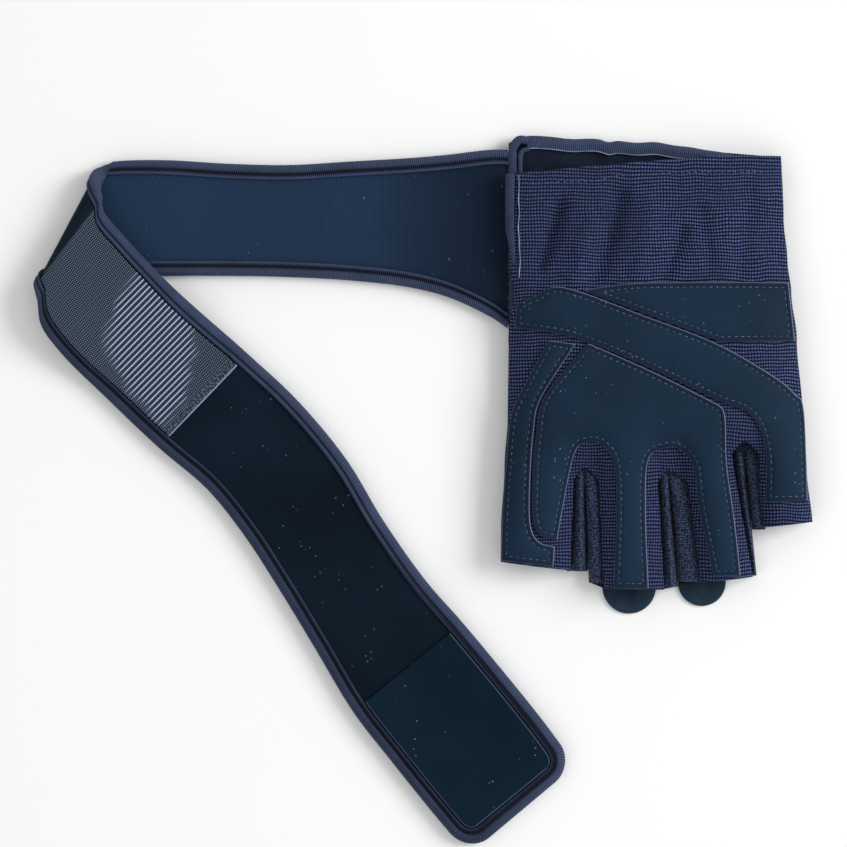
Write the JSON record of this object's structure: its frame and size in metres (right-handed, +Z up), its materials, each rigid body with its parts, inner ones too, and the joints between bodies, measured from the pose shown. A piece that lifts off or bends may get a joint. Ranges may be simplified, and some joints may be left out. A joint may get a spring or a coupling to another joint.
{
  "type": "weightlifting glove",
  "caption": "Half-finger weightlifting glove lying palm up, with stitched leather palm pads and a long padded wrist wrap folded over beside it.",
  "frame": {"origin": "middle of the glove's box, on the surface that it lies on", "axes": "+X from the strap's fold towards the little finger, the glove's longest way; +Y from the fingers towards the cuff; +Z up, out of the palm"},
  "size_m": [0.273, 0.2486, 0.0185],
  "materials": {
    "mesh_knit": "matte",
    "gusset_knit": "matte",
    "palm_leather": "satin",
    "ribbed_binding": "matte",
    "tab_suede": "matte",
    "strap_lining": "matte",
    "woven_webbing": "satin",
    "hook_fastener": "matte"
  },
  "bodies": {
    "root": {"palm_panel": "mesh_knit", "back_panel": "mesh_knit", "gusset_index_middle": "gusset_knit", "gusset_middle_ring": "gusset_knit", "gusset_ring_little": "gusset_knit", "palm_pad": "palm_leather", "index_guard": "palm_leather", "diagonal_band": "palm_leather", "heel_patch": "palm_leather", "cuff_binding": "ribbed_binding", "slit_binding_palm": "ribbed_binding", "slit_binding_back": "ribbed_binding", "pull_tab_middle": "tab_suede", "pull_tab_ring": "tab_suede", "strap_core": "strap_lining", "strap_binding": "ribbed_binding", "webbing_patch": "woven_webbing", "hook_pad": "hook_fastener"}
  },
  "joints": []
}
